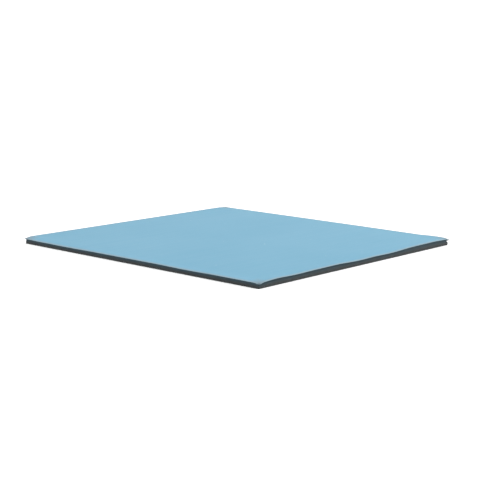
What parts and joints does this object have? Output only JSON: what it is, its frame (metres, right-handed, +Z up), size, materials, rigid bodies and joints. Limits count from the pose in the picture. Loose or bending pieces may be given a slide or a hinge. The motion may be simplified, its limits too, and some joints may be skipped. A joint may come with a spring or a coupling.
{
  "type": "thermal pad sheet",
  "caption": "Square sheet of soft grey heat-conducting silicone under a thin light blue release film, to be cut to size and laid between a chip and its heatsink.",
  "frame": {"origin": "centre of the sheet's flat underside", "axes": "+X along the sheet's length, +Y along its width, +Z up through its thickness, from the pad to the film"},
  "size_m": [0.1006, 0.1006, 0.0025],
  "materials": {
    "grey_silicone": "matte",
    "blue_film": "satin"
  },
  "bodies": {
    "root": {"thermal_pad": "grey_silicone", "release_film": "blue_film"}
  },
  "joints": []
}
